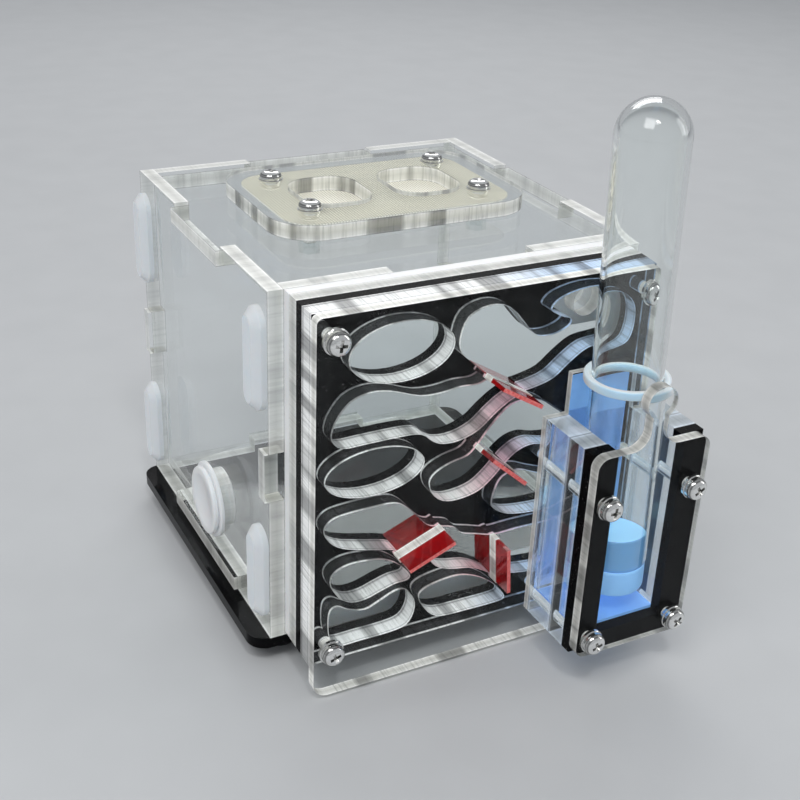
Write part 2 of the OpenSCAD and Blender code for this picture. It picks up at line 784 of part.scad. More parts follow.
module side_pad_1() { side_pad(1); }
module side_pad_2() { side_pad(2); }
module side_pad_3() { side_pad(3); }
module side_pad_4() { side_pad(4); }

base_plate();
base_feet();
bottom_panel();
top_panel();
left_panel();
right_panel();
back_panel();
front_panel();
vent_plate();
vent_mesh();
vent_screws();
vent_nuts();
nest_gasket();
nest_back_sheet();
nest_black_sheet();
nest_block();
nest_cover();
nest_screws();
gate_1();
gate_2();
gate_3();
gate_4();
feeder_back_plate();
feeder_blue_sheet();
feeder_rear_body();
feeder_middle_body();
feeder_black_frame();
feeder_floor();
feeder_front_plate();
feeder_screws();
water_tube();
tube_ring();
tube_stopper();
port_plug();
side_pad_1();
side_pad_2();
side_pad_3();
side_pad_4();
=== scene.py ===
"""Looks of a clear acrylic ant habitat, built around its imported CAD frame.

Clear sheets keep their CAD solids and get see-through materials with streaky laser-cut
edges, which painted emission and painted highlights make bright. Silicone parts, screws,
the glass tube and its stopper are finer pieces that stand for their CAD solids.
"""

import math

import bmesh
import bpy
from mathutils import Matrix, Vector


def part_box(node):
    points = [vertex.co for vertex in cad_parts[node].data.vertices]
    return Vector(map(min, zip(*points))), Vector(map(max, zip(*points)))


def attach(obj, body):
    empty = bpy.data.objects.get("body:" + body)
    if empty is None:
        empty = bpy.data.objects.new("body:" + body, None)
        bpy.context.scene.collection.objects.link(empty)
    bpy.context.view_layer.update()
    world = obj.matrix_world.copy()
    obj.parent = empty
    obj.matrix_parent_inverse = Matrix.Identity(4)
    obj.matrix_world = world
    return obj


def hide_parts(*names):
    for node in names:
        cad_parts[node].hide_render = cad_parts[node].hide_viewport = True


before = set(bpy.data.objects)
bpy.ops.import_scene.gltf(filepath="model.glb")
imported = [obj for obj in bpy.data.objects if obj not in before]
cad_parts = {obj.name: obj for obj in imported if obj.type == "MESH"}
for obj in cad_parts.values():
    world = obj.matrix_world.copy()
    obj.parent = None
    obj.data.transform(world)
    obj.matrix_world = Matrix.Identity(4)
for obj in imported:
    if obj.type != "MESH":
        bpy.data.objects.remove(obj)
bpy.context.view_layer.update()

MM = 0.001
X, Y, Z = Vector((1, 0, 0)), Vector((0, 1, 0)), Vector((0, 0, 1))
# Places of the three axes in a vector
AT_X, AT_Y, AT_Z = 0, 1, 2
GATES = (1, 2, 3, 4)
PADS = (1, 2, 3, 4)

# ---- Node helpers ----------------------------------------------------------


def add(tree, kind, inputs=None, **settings):
    """A shader node with its settings and its inputs: sockets are linked, values set."""
    made = tree.nodes.new("ShaderNode" + kind)
    for key, value in settings.items():
        setattr(made, key, value)
    for key, value in (inputs or {}).items():
        if isinstance(value, bpy.types.NodeSocket):
            tree.links.new(value, made.inputs[key])
        else:
            made.inputs[key].default_value = value
    return made


def calc(tree, operation, a, b=0.0, clamp=False):
    """Output of a Math node."""
    return add(tree, "Math", {0: a, 1: b}, operation=operation, use_clamp=clamp).outputs[0]


def map_range(tree, value, low, high, at_low=0.0, at_high=1.0):
    """Output that goes from at_low to at_high as value goes from low to high."""
    return add(
        tree, "MapRange", {0: value, 1: low, 2: high, 3: at_low, 4: at_high}
    ).outputs[0]


def ramp(tree, share, *stops):
    """Colour output of a ramp with (position, (r, g, b)) stops."""
    made = add(tree, "ValToRGB", {0: share})
    points = made.color_ramp.elements
    while len(points) < len(stops):
        points.new(0.5)
    for point, (place, colour) in zip(points, stops):
        point.position = place
        point.color = (*colour, 1.0)
    return made.outputs[0]


def lay_over(tree, first, second, share=1.0, mode="MULTIPLY"):
    """Colour output of a Mix node that lays second over first."""
    return add(
        tree, "Mix", {0: share, 6: first, 7: second}, data_type="RGBA", blend_type=mode
    ).outputs[2]


def blend_shaders(tree, share, first, second):
    """Output of a Mix Shader: first where share is 0 and second where it is 1."""
    mix = add(tree, "MixShader", {0: share})
    tree.links.new(first, mix.inputs[1])
    tree.links.new(second, mix.inputs[2])
    return mix.outputs[0]


def object_place(tree):
    """Object coordinates, in metres."""
    return add(tree, "TexCoord").outputs["Object"]


def noise(tree, scale, detail, stretch=(1, 1, 1), roughness=0.5):
    """Factor output of a noise on object coordinates; scale counts per metre."""
    place = add(tree, "Mapping", {"Vector": object_place(tree), "Scale": stretch}).outputs[0]
    return add(
        tree, "TexNoise",
        {"Vector": place, "Scale": scale, "Detail": detail, "Roughness": roughness},
    ).outputs[0]


def bump(tree, height, strength, distance=0.2 * MM):
    """Normal output of a Bump node."""
    return add(
        tree, "Bump", {"Height": height, "Strength": strength, "Distance": distance}
    ).outputs[0]


def normal_along(tree, direction):
    """How far the object-space normal points along a direction, from -1 to 1."""
    normal = add(tree, "TexCoord").outputs["Normal"]
    return add(
        tree, "VectorMath", {0: normal, 1: direction}, operation="DOT_PRODUCT"
    ).outputs["Value"]


def along_axis(tree, axis):
    """How far the object-space normal lies along an axis, either way, from 0 to 1."""
    direction = [0.0, 0.0, 0.0]
    direction[axis] = 1.0
    return calc(tree, "ABSOLUTE", normal_along(tree, direction))


def turned_to(tree, axis):
    """1 where the object-space normal points along an axis, else 0."""
    return calc(tree, "GREATER_THAN", along_axis(tree, axis), 0.8)


def sheen_share(tree, at_front):
    """Share of light that a polished face mirrors: at_front head-on, and 0.9 at grazing."""
    facing = add(tree, "LayerWeight", {"Blend": 0.5}).outputs["Facing"]
    rise = calc(tree, "POWER", facing, 5.0)
    scaled = calc(tree, "MULTIPLY", rise, 0.9 - at_front)
    return calc(tree, "ADD", scaled, at_front, clamp=True)


def glossy(tree, roughness=0.03):
    return add(tree, "BsdfGlossy", {"Color": (1, 1, 1, 1), "Roughness": roughness}).outputs[0]


def see_through(tree, colour):
    return add(tree, "BsdfTransparent", {"Color": (*colour, 1)}).outputs[0]


def pass_lamps(tree, surface, share, tint):
    """Surface that throws no more than a faint, tinted shadow."""
    shadow = calc(tree, "MULTIPLY", add(tree, "LightPath").outputs["Is Shadow Ray"], share)
    return blend_shaders(tree, shadow, surface, see_through(tree, tint))


def dust(tree, amount):
    """Sparse specks: the share of the surface that a speck covers."""
    grain = noise(tree, 2600.0, 0.0)
    patch = noise(tree, 60.0, 1.0)
    level = calc(tree, "ADD", calc(tree, "MULTIPLY", patch, 0.08), grain)
    speck = calc(tree, "GREATER_THAN", level, 0.86)
    return calc(tree, "MULTIPLY", speck, amount)


def material(name, build):
    """A new material whose surface is what build(tree) returns."""
    made = bpy.data.materials.new(name)
    made.use_nodes = True
    tree = made.node_tree
    tree.nodes.clear()
    out = add(tree, "OutputMaterial")
    tree.links.new(build(tree), out.inputs["Surface"])
    return made


# ---- Clear sheets ----------------------------------------------------------

ACRYLIC_IOR, GLASS_IOR = 1.49, 1.47
FACE_TINT, EDGE_TINT = (0.978, 0.988, 0.988), (0.86, 0.88, 0.88)
FACE_DUST = 0.18
# Painted coloured light that the gates and the feeder throw on the chambers' walls: its tints
# and their strength
PINK, GATE_TINT = (1.0, 0.42, 0.5, 1), 0.7
PALE_BLUE, FEEDER_TINT = (0.5, 0.7, 1.0, 1), 0.8
# Noise scales of a cut edge's fine streaks and of its broad bands of painted reflection, and
# how far both are drawn out across the sheet
FINE, BROAD, DRAWN_OUT = 1500.0, 170.0, 0.05

# Tones of a cut edge from the sheet's low to its high main face, with painted highlights near
# both rims
EVEN_CUT_PAINTED_HIGHLIGHTS = (
    (0.0, (0.3, 0.3, 0.29)), (0.05, (1.0, 1.0, 0.98)), (0.2, (0.9, 0.9, 0.86)),
    (0.5, (0.74, 0.74, 0.7)), (0.8, (0.9, 0.9, 0.86)), (0.95, (1.0, 1.0, 0.98)),
    (1.0, (0.3, 0.3, 0.29)),
)
# Painted light on the chambers' walls: a painted lit tone where they face up or to the left,
# and painted shade with a painted reflection of the black sheet where they don't. Both have
# painted highlights along their rims
CHAMBER_PAINTED_LIT = (
    (0.0, (1.0, 1.0, 1.0)), (0.07, (1.0, 1.0, 1.0)), (0.12, (0.5, 0.51, 0.51)),
    (0.2, (0.92, 0.93, 0.93)), (0.75, (0.85, 0.86, 0.86)), (0.88, (0.3, 0.3, 0.31)),
    (1.0, (0.9, 0.9, 0.9)),
)
CHAMBER_PAINTED_SHADE = (
    (0.0, (1.0, 1.0, 1.0)), (0.09, (1.0, 1.0, 1.0)), (0.16, (0.03, 0.03, 0.032)),
    (0.5, (0.05, 0.05, 0.052)), (0.84, (0.02, 0.02, 0.022)), (0.9, (0.95, 0.96, 0.97)),
    (1.0, (0.5, 0.5, 0.51)),
)
# White at both rims of a cut edge, black between them
RIMS = ((0.0, (1, 1, 1)), (0.16, (0, 0, 0)), (0.84, (0, 0, 0)), (1.0, (1, 1, 1)))


def bent_light(tree, at_front, roughness=0.0):
    """Clear solid that bends light like acrylic and lets lamps through.

    Glass has a sheen of its own, so a solid with next to no sheen only refracts.
    """
    kind = "BsdfRefraction" if at_front < 0.02 else "BsdfGlass"
    inner = add(
        tree, kind,
        {"Color": (0.98, 0.99, 0.99, 1), "Roughness": roughness, "IOR": ACRYLIC_IOR},
    ).outputs[0]
    polished = blend_shaders(tree, sheen_share(tree, at_front), inner, glossy(tree))
    return pass_lamps(tree, polished, 0.95, (0.97, 0.98, 0.98))


def painted_light_side(tree):
    """1 where a surface faces up or to the left from its solid, and 0 where it faces away: the
    mask of painted light.
    """
    toward = normal_along(tree, (-0.55, 0.0, 0.83))
    # The shading normal is turned round where a surface is seen from inside its solid
    inside = add(tree, "NewGeometry").outputs["Backfacing"]
    sign = calc(tree, "SUBTRACT", 1.0, calc(tree, "MULTIPLY", inside, 2.0))
    return map_range(tree, calc(tree, "MULTIPLY", toward, sign), -0.2, 0.3)


def painted_colour_spill(tree, tone):
    """Tone with painted coloured light, the red of the gates and the blue of the feeder, spread
    into it near them.
    """
    coords = object_place(tree)
    for number in GATES:
        low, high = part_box("gate_%d" % number)
        reach = (high - low).length / 2
        apart = add(
            tree, "VectorMath", {0: coords, 1: (low + high) / 2}, operation="DISTANCE"
        ).outputs["Value"]
        near = map_range(tree, apart, reach * 0.4, reach + 3 * MM, GATE_TINT, 0.0)
        tone = lay_over(tree, tone, PINK, near)
    feeder_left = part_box("feeder_rear_body")[0].x
    place = add(tree, "SeparateXYZ", {0: coords}).outputs[AT_X]
    near = map_range(
        tree, place, feeder_left - 15 * MM, feeder_left + 4 * MM, 0.0, FEEDER_TINT
    )
    return lay_over(tree, tone, PALE_BLUE, near)


def cut_edge(tree, depth, stretch, chambers, painted_emission, darkest_painted_reflection, streaky, painted_light_tint):
    """Laser-cut edge with painted light; depth goes from 0 to 1 between the sheet's main faces.
    """
    streaks = noise(tree, FINE, 4.0, stretch, 0.65)
    broad = noise(tree, BROAD, 1.0, stretch)
    if chambers:
        # Painted light and shade by which way a wall faces, and painted coloured light near the
        # gates
        dark, lit = ramp(tree, depth, *CHAMBER_PAINTED_SHADE), ramp(tree, depth, *CHAMBER_PAINTED_LIT)
        tone = painted_colour_spill(tree, lay_over(tree, dark, lit, painted_light_side(tree), "MIX"))
    else:
        tone = ramp(tree, depth, *EVEN_CUT_PAINTED_HIGHLIGHTS)
    fine_tone = ramp(
        tree, streaks, (0.36, (0.5, 0.51, 0.5)), (0.5, (0.9, 0.9, 0.89)), (0.62, (1, 1, 1))
    )
    # Painted reflection: broad bands where the edge seems to mirror bright or dark surroundings
    painted_reflection_bands = ramp(
        tree, broad, (0.4, (darkest_painted_reflection, darkest_painted_reflection, darkest_painted_reflection)), (0.5, (0.95, 0.95, 0.94)),
        (0.6, (1, 1, 1)),
    )
    streaked = lay_over(tree, tone, fine_tone, streaky)
    # Painted tint of light laid over the edge, which is blue beside the feeder's blue sheet
    colour = lay_over(tree, lay_over(tree, streaked, painted_reflection_bands, 0.75), painted_light_tint)
    # The edge's colour is also emitted: painted emission for light piped through the sheet
    return add(
        tree, "BsdfPrincipled",
        {
            "Base Color": colour, "Roughness": 0.16,
            "Specular IOR Level": 0.25 if chambers else 0.7,
            "Normal": bump(tree, streaks, 0.45), "Emission Color": colour,
            "Emission Strength": painted_emission,
        },
    ).outputs[0]


def sheet_material(
    name, node, axis, gloss, frost, polished=None, chambers=False, solid=False,
    painted_emission=0.12, darkest_painted_reflection=0.72, streaky=0.35, painted_light_tint=(1.0, 1.0, 1.0, 1.0), upright_share=1.0,
):
    """Clear sheet: polished main faces across axis, and cut edges lit by painted emission.

    gloss is what a face mirrors head-on, and frost is the opacity of a cut edge. Edges
    whose normal lies along polished are clearer, and upright ones have upright_share of
    the others' opacity. A solid sheet bends light, and any other lets it straight through.
    """
    low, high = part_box(node)
    stretch = [1.0, 1.0, 1.0]
    stretch[axis] = DRAWN_OUT

    def build(tree):
        if solid:
            face = bent_light(tree, gloss)
        else:
            sheen = blend_shaders(
                tree, sheen_share(tree, gloss), see_through(tree, FACE_TINT), glossy(tree)
            )
            fluff = add(tree, "BsdfDiffuse", {"Color": (0.9, 0.9, 0.88, 1)}).outputs[0]
            face = blend_shaders(tree, dust(tree, FACE_DUST), sheen, fluff)

        place = add(tree, "SeparateXYZ", {0: object_place(tree)}).outputs[axis]
        depth = map_range(tree, place, low[axis], high[axis])
        cut = cut_edge(tree, depth, stretch, chambers, painted_emission, darkest_painted_reflection, streaky, painted_light_tint)
        # The rims of a cut edge hide more than its middle of what lies behind
        rim = ramp(tree, depth, *RIMS)
        cover = calc(tree, "ADD", calc(tree, "MULTIPLY", rim, 0.3), frost, clamp=True)
        if upright_share < 1.0:
            level = calc(tree, "MULTIPLY", turned_to(tree, AT_Z), 1.0 - upright_share)
            share = calc(tree, "ADD", level, upright_share)
            cover = calc(tree, "MULTIPLY", cover, share)
        edge = blend_shaders(tree, cover, see_through(tree, EDGE_TINT), cut)
        if polished is not None:
            clear = bent_light(tree, 0.03, 0.03)
            share = calc(tree, "ADD", calc(tree, "MULTIPLY", rim, 0.45), 0.08, clamp=True)
            window = blend_shaders(tree, share, clear, cut)
            edge = blend_shaders(tree, turned_to(tree, polished), edge, window)
        return blend_shaders(tree, turned_to(tree, axis), edge, face)

    return material(name, build)


# ---- Other materials -------------------------------------------------------


def plain(name, colour, roughness, dusty=0.0, **more):
    """Principled material with a faint procedural unevenness in its gloss and tone."""

    def build(tree):
        mottle = noise(tree, 700.0, 3.0)
        rough = map_range(tree, mottle, 0.3, 0.7, roughness * 0.8, roughness * 1.2)
        shade = tuple(c * 0.93 for c in colour)
        tone = ramp(tree, mottle, (0.3, shade), (0.7, colour))
        if dusty:
            tone = lay_over(tree, tone, (0.5, 0.5, 0.49, 1), dust(tree, dusty), "MIX")
        inputs = {"Base Color": tone, "Roughness": rough}
        inputs.update(more)
        return add(tree, "BsdfPrincipled", inputs).outputs[0]

    return material(name, build)


def foam(name, colour, roughness, painted_emission):
    """Soft blue stopper foam with a little painted emission."""
    return plain(
        name, colour, roughness,
        **{
            "Subsurface Weight": 0.15, "Subsurface Radius": (0.003, 0.004, 0.005),
            "Subsurface Scale": 0.3, "Emission Color": (0.25, 0.55, 1.0, 1),
            "Emission Strength": painted_emission,
        }
    )


def silicone_material(name, deep, middle_tone, pale, opacity):
    """Milky silicone: soft light inside, and a painted sheen that makes it paler where the
    surface turns away.
    """

    def build(tree):
        # Painted sheen: the tone turns paler towards grazing
        rim = add(tree, "LayerWeight", {"Blend": 0.5}).outputs["Facing"]
        cloud = noise(tree, 260.0, 2.0)
        turn = calc(tree, "ADD", calc(tree, "MULTIPLY", cloud, 0.25), rim)
        tone = ramp(tree, turn, (0.1, deep), (0.5, middle_tone), (0.95, pale))
        grain = noise(tree, 2400.0, 2.0)
        body = add(
            tree, "BsdfPrincipled",
            {
                "Base Color": tone, "Roughness": 0.3, "Subsurface Weight": 0.3,
                "Subsurface Radius": (0.004, 0.005, 0.006), "Subsurface Scale": 0.4,
                "Specular IOR Level": 0.5, "Normal": bump(tree, grain, 0.12, 0.1 * MM),
            },
        ).outputs[0]
        return blend_shaders(tree, opacity, see_through(tree, (0.93, 0.96, 0.98)), body)

    return material(name, build)


def clear_red(tree):
    """Transparent red plate with paler cut ends."""
    dye = add(
        tree, "BsdfPrincipled", {"Base Color": (0.5, 0.012, 0.018, 1), "Roughness": 0.2}
    ).outputs[0]
    body = blend_shaders(tree, 0.4, see_through(tree, (0.82, 0.06, 0.07)), dye)
    face = blend_shaders(tree, sheen_share(tree, 0.05), body, glossy(tree))
    streaks = noise(tree, FINE, 2.0)
    tone = ramp(tree, streaks, (0.3, (0.75, 0.06, 0.06)), (0.7, (0.95, 0.3, 0.28)))
    end = add(tree, "BsdfPrincipled", {"Base Color": tone, "Roughness": 0.3}).outputs[0]
    return blend_shaders(tree, turned_to(tree, AT_Y), face, end)


# Painted reflection on a screw head, from its flank to its top, of a partly dark room
HEAD_PAINTED_REFLECTION = (
    (0.0, (0.9, 0.9, 0.89)), (0.12, (0.85, 0.85, 0.84)), (0.2, (0.16, 0.16, 0.16)),
    (0.38, (0.6, 0.6, 0.59)), (0.62, (0.22, 0.22, 0.22)), (0.74, (0.92, 0.92, 0.91)),
    (1.0, (1, 1, 1)),
)


def steel_material(axis):
    """Bright steel for screws that lie along an axis, with a painted reflection on their heads.
    """

    def build(tree):
        brushed = noise(tree, 3000.0, 3.0)
        rough = map_range(tree, brushed, 0.3, 0.7, 0.1, 0.2)
        tone = ramp(tree, brushed, (0.3, (0.8, 0.8, 0.79)), (0.7, (0.98, 0.98, 0.97)))
        # Painted reflection by which way the surface faces
        head = ramp(tree, along_axis(tree, axis), *HEAD_PAINTED_REFLECTION)
        return add(
            tree, "BsdfPrincipled",
            {
                "Base Color": lay_over(tree, tone, head), "Roughness": rough,
                "Metallic": 1.0, "Normal": bump(tree, brushed, 0.05, 0.1 * MM),
            },
        ).outputs[0]

    return material("screw_steel_" + "xyz"[axis], build)


def woven_mesh(tree):
    """Plain weave of fine wires, see-through between them, with painted shade and painted
    emission.
    """
    pitch = 0.8 * MM
    places = add(tree, "SeparateXYZ", {0: object_place(tree)})
    waves = []
    for place in (places.outputs[AT_X], places.outputs[AT_Y]):
        turns = calc(tree, "MULTIPLY", place, 2 * math.pi / pitch)
        wave = calc(tree, "SINE", turns)
        waves.append(calc(tree, "ADD", calc(tree, "MULTIPLY", wave, 0.5), 0.5))
    height = calc(tree, "MAXIMUM", *waves)
    wire = calc(tree, "GREATER_THAN", height, 0.12)
    cross = calc(tree, "MULTIPLY", *waves)
    # Painted shade: the wires darken towards the gaps and are lightest where they cross
    tone = ramp(
        tree, cross, (0.0, (0.42, 0.4, 0.32)), (0.25, (0.85, 0.83, 0.72)),
        (0.7, (1.0, 0.99, 0.9)),
    )
    # Painted emission lightens the wires
    metal = add(
        tree, "BsdfPrincipled",
        {
            "Base Color": tone, "Roughness": 0.4, "Normal": bump(tree, height, 0.8, 0.1 * MM),
            "Emission Color": tone, "Emission Strength": 0.16,
        },
    ).outputs[0]
    return blend_shaders(tree, wire, see_through(tree, (1, 1, 1)), metal)


def tube_glass(tree):
    """Thin clear glass that lets lamps through."""
    wall = add(
        tree, "BsdfPrincipled",
        {
            "Base Color": (0.97, 0.99, 0.985, 1), "Roughness": 0.02, "IOR": GLASS_IOR,
            "Transmission Weight": 1.0,
        },
    ).outputs[0]
    return pass_lamps(tree, wall, 0.92, (0.96, 0.98, 0.98))


def clear_nut(tree):
    """Nearly clear nut, because the photograph shows none."""
    inner = see_through(tree, (0.93, 0.95, 0.95))
    return blend_shaders(tree, sheen_share(tree, 0.05), inner, glossy(tree, 0.1))


SILICONE = silicone_material(
    "milky_silicone", (0.46, 0.7, 0.93), (0.7, 0.86, 0.98), (0.97, 0.985, 1.0), 0.95
)
PALE_SILICONE = silicone_material(
    "pale_silicone", (0.86, 0.9, 0.93), (0.92, 0.95, 0.97), (1.0, 1.0, 1.0), 0.93
)
GASKET = silicone_material(
    "gasket_silicone", (0.88, 0.92, 0.95), (0.93, 0.95, 0.97), (1.0, 1.0, 1.0), 1.0
)
CLEAR_SILICONE = silicone_material(
    "clear_silicone", (0.86, 0.92, 0.96), (0.96, 0.98, 1.0), (1.0, 1.0, 1.0), 0.72
)
STEEL_Y, STEEL_Z = steel_material(AT_Y), steel_material(AT_Z)
# Screw threads with painted emission that brightens them
THREAD_PAINTED_EMISSION = plain(
    "thread_steel_painted_emission", (0.97, 0.97, 0.96), 0.35,
    **{"Metallic": 1.0, "Emission Color": (0.9, 0.95, 1.0, 1), "Emission Strength": 0.16}
)
GLASS = material("tube_glass", tube_glass)
RED = material("clear_red", clear_red)
MESH = material("woven_mesh", woven_mesh)
NUT = material("clear_nut", clear_nut)
JET = (0.003, 0.003, 0.0035)
BLACK = plain("polished_black", JET, 0.12, 0.12, **{"Specular IOR Level": 0.05})
DEEP_BLACK = plain("inner_black", JET, 0.3, 0.26, **{"Specular IOR Level": 0.03})
RUBBER = plain("black_rubber", (0.02, 0.02, 0.021), 0.55)
# Blue film with painted emission on top of its own blue
BLUE_FILM_PAINTED_EMISSION = plain(
    "blue_film", (0.22, 0.46, 0.88), 0.42,
    **{"Emission Color": (0.2, 0.43, 0.85, 1), "Emission Strength": 0.24}
)
# Stopper foam with painted emission; the side is a painted-shade copy of the top, darker and
# dimmer
STOPPER_PAINTED_LIT_TOP = foam("blue_stopper", (0.4, 0.75, 1.0), 0.5, 0.4)
STOPPER_PAINTED_SHADE_SIDE = foam("blue_stopper_painted_shade_side", (0.14, 0.4, 0.75), 0.4, 0.16)
STOPPER_FOOT = foam("blue_stopper_foot", (0.3, 0.58, 0.95), 0.5, 0.25)

# ---- CAD solids that keep their shape --------------------------------------

# Clearer upright edges on the box's walls
WALL = {"upright_share": 0.6}
# Painted light of the blue sheet in the cut edges beside it: a painted blue tint and stronger
# painted emission
FEEDER_BODY = {"polished": AT_X, "solid": True, "painted_emission": 0.25, "painted_light_tint": (0.78, 0.87, 1.0, 1.0)}
# Node: axis across the sheet, head-on gloss, opacity of the cut edges, and the rest, which
# also sets the cut edges' painted emission and painted reflection
SHEETS = {
    "bottom_panel": (AT_Z, 0.02, 0.66, {}),
    "top_panel": (AT_Z, 0.03, 0.74, {}),
    "left_panel": (AT_X, 0.03, 0.8, WALL),
    "right_panel": (AT_X, 0.02, 0.8, WALL),
    "back_panel": (AT_Y, 0.02, 0.8, WALL),
    "front_panel": (AT_Y, 0.01, 0.8, WALL),
    "vent_plate": (AT_Z, 0.03, 0.75, {"solid": True, "darkest_painted_reflection": 0.1, "streaky": 0.6}),
    "nest_back_sheet": (AT_Y, 0.004, 0.72, {}),
    "nest_block": (
        AT_Y, 0.001, 0.95, {"chambers": True, "painted_emission": 0.28, "darkest_painted_reflection": 0.2, "streaky": 0.75}
    ),
    "nest_cover": (AT_Y, 0.012, 0.85, {"painted_emission": 0.28, "darkest_painted_reflection": 0.25, "streaky": 0.6}),
    "feeder_back_plate": (AT_Y, 0.01, 0.6, {}),
    "feeder_rear_body": (AT_Y, 0.02, 0.6, FEEDER_BODY),
    "feeder_middle_body": (AT_Y, 0.02, 0.6, FEEDER_BODY),
    "feeder_front_plate": (
        AT_Y, 0.008, 0.66, {"solid": True, "darkest_painted_reflection": 0.3, "streaky": 0.6}
    ),
}
OTHERS = {
    "base_plate": BLACK, "base_feet": RUBBER, "nest_black_sheet": DEEP_BLACK,
    "vent_mesh": MESH, "vent_nuts": NUT, "gate_1": RED, "gate_2": RED, "gate_3": RED,
    "gate_4": RED, "feeder_black_frame": DEEP_BLACK, "feeder_blue_sheet": BLUE_FILM_PAINTED_EMISSION,
    "feeder_floor": BLUE_FILM_PAINTED_EMISSION,
}


def dress(node, look):
    """Gives a CAD solid its material."""
    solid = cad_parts[node]
    solid.data.materials.clear()
    solid.data.materials.append(look)


def shrink(node, by):
    """Draws a CAD solid's faces in by a hair, clear of the faces that lie on them."""
    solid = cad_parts[node]
    solid.modifiers.new("seams", "WELD").merge_threshold = 0.002 * MM
    inset = solid.modifiers.new("hair", "DISPLACE")
    inset.mid_level = 0.0
    inset.strength = -by
    crease = solid.modifiers.new("crease", "EDGE_SPLIT")
    crease.split_angle = math.radians(30)


for sheet, (axis, gloss, frost, rest) in SHEETS.items():
    dress(sheet, sheet_material("clear_" + sheet, sheet, axis, gloss, frost, **rest))
for node, look in OTHERS.items():
    dress(node, look)
for node in ("nest_black_sheet", "feeder_black_frame", "base_plate"):
    shrink(node, 0.012 * MM)

# ---- Mesh helpers ----------------------------------------------------------

# Steps in each rounded rim of a disc
RIM_STEPS = 4


def new_piece(name, bm, looks, smooth=True):
    """Object from a bmesh, with outward normals and its materials."""
    bmesh.ops.recalc_face_normals(bm, faces=bm.faces)
    mesh = bpy.data.meshes.new(name)
    bm.to_mesh(mesh)
    bm.free()
    for face in mesh.polygons:
        face.use_smooth = smooth
    made = bpy.data.objects.new(name, mesh)
    bpy.context.scene.collection.objects.link(made)
    for look in looks:
        mesh.materials.append(look)
    return made


def lathe(bm, profile, place, axis, steps):
    """Turns a closed (radius, height) profile round the axis through place."""
    turn = Z.rotation_difference(axis).to_matrix()
    rings = []
    for radius, height in profile:
        if radius < 1e-9:
            rings.append([bm.verts.new(place + turn @ Vector((0, 0, height)))])
            continue
        ring = []
        for step in range(steps):
            angle = 2 * math.pi * step / steps
            point = Vector((radius * math.cos(angle), radius * math.sin(angle), height))
            ring.append(bm.verts.new(place + turn @ point))
        rings.append(ring)
    for low, high in zip(rings, rings[1:] + rings[:1]):
        if len(low) == 1 and len(high) == 1:
            continue
        for step in range(steps):
            after = (step + 1) % steps
            corners = [
                low[step % len(low)], low[after % len(low)],
                high[after % len(high)], high[step % len(high)],
            ]
            unique = list(dict.fromkeys(corners))
            if len(unique) > 2:
                bm.faces.new(unique)


def rounded(radius, height, bevel):
    """Profile of a disc with rounded rims, from its lower to its upper centre."""
    angles = [math.pi / 2 * step / RIM_STEPS for step in range(RIM_STEPS + 1)]
    flat, top = radius - bevel, height - bevel
    points = [(0.0, 0.0)]
    points += [(flat + bevel * math.sin(a), bevel - bevel * math.cos(a)) for a in angles]
    points += [(flat + bevel * math.cos(a), top + bevel * math.sin(a)) for a in angles]
    return points + [(0.0, height)]


def arc(centre, radius, start, end, steps):
    """Points on an arc, from the start to the end angle in degrees."""
    points = []
    for step in range(steps + 1):
        angle = math.radians(start + (end - start) * step / steps)
        points.append(
            (centre[0] + radius * math.cos(angle), centre[1] + radius * math.sin(angle))
        )
    return points


def outline_slab(bm, outline, holes, low_y, high_y):
    """Solid between two planes across Y, from an (x, z) outline and its holes."""
    layers = []
    for level in (low_y, high_y):
        loops = []
        for loop in [outline] + holes:
            verts = [bm.verts.new((x, level, z)) for x, z in loop]
            edges = [bm.edges.new((a, b)) for a, b in zip(verts, verts[1:] + verts[:1])]
            loops.append((verts, edges))
        bmesh.ops.triangle_fill(
            bm, edges=[edge for _, edges in loops for edge in edges], use_beauty=True
        )
        layers.append([verts for verts, _ in loops])
    for front, back in zip(*layers):
        for step in range(len(front)):
            after = (step + 1) % len(front)
            bm.faces.new((front[step], front[after], back[after], back[step]))


def sharpen(piece, degrees):
    """Keeps a smooth piece's edges sharp where its faces meet at more than this angle."""
    mesh = piece.data
    bm = bmesh.new()
    bm.from_mesh(mesh)
    for edge in bm.edges:
        if len(edge.link_faces) == 2 and edge.calc_face_angle() > math.radians(degrees):
            edge.smooth = False
    bm.to_mesh(mesh)
    bm.free()


# ---- Pads and plug ---------------------------------------------------------

# A pad's layers from the panel out: share of its thickness, and inset in mm. They make a
# side wall, a sloping rim and a flat face.
PAD_LAYERS = ((0.0, 0.0), (0.4, 0.0), (0.45, 0.08), (0.94, 1.85), (1.0, 2.15))
PAD_END_STEPS = 12


def side_pad(node, number):
    """Long silicone bumper on the left panel."""
    low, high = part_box(node)
    centre = (low + high) / 2
    thick, wide, tall = high - low
    reach = tall / 2 - wide / 2
    bm = bmesh.new()
    rings = []
    for share, inset in PAD_LAYERS:
        radius = wide / 2 - inset * MM
        middle = Vector((high.x - share * thick, centre.y, centre.z))
        ring = []
        for end, base in ((1, 0.0), (-1, math.pi)):
            for step in range(PAD_END_STEPS + 1):
                angle = base + math.pi * step / PAD_END_STEPS
                side, up = radius * math.cos(angle), end * reach + radius * math.sin(angle)
                ring.append(bm.verts.new(middle + Vector((0, side, up))))
        rings.append(ring)
    count = len(rings[0])
    for one, other in zip(rings, rings[1:]):
        for step in range(count):
            after = (step + 1) % count
            face = bm.faces.new((one[step], one[after], other[after], other[step]))
            face.material_index = 1
    bm.faces.new(rings[0])
    bm.faces.new(rings[-1])
    piece = new_piece("pad_%d" % number, bm, [SILICONE, CLEAR_SILICONE])
    sharpen(piece, 20)
    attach(piece, "habitat")
    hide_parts(node)


for number in PADS:
    side_pad("side_pad_%d" % number, number)


